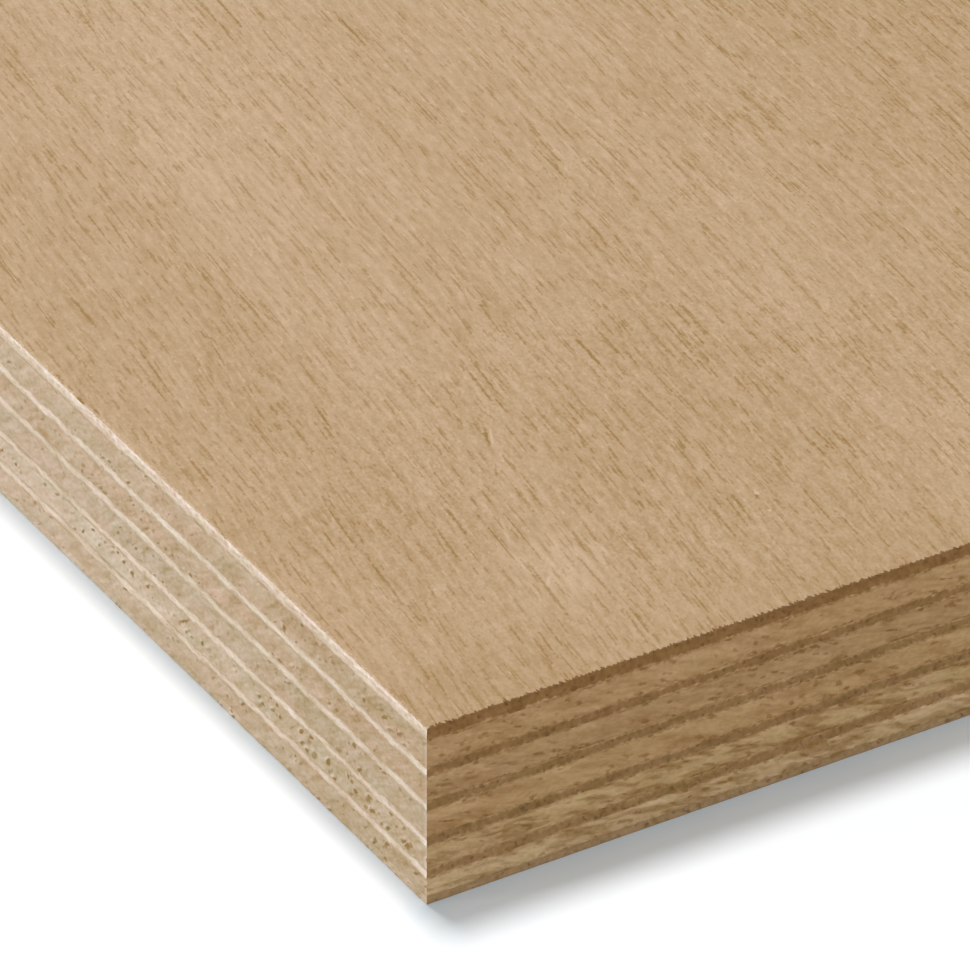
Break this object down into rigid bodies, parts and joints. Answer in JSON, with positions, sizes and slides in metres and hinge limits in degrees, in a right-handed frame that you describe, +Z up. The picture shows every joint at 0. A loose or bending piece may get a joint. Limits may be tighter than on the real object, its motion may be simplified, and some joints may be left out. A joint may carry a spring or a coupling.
{
  "type": "plywood sheet",
  "caption": "Flat hardwood-faced plywood sheet, cross-bonded from thin and thick veneers whose grain runs along and across by turns.",
  "frame": {"origin": "centre of the back face, which lies on the floor", "axes": "+X along the sheet's length and the face grain, +Y across the sheet, +Z up through the plies to the face veneer"},
  "size_m": [2.44, 1.22, 0.018],
  "materials": {
    "face_wood": "sanded, unsealed, fine open pores",
    "back_wood": "sanded, unsealed, fine open pores",
    "long_ply_wood": "saw cut",
    "cross_ply_wood": "saw cut"
  },
  "bodies": {
    "root": {"face_veneer": "face_wood", "back_veneer": "back_wood", "long_ply_1": "long_ply_wood", "long_ply_2": "long_ply_wood", "long_ply_3": "long_ply_wood", "long_ply_4": "long_ply_wood", "cross_ply_1": "cross_ply_wood", "cross_ply_2": "cross_ply_wood", "cross_ply_3": "cross_ply_wood", "cross_ply_4": "cross_ply_wood", "cross_ply_5": "cross_ply_wood"}
  },
  "joints": []
}
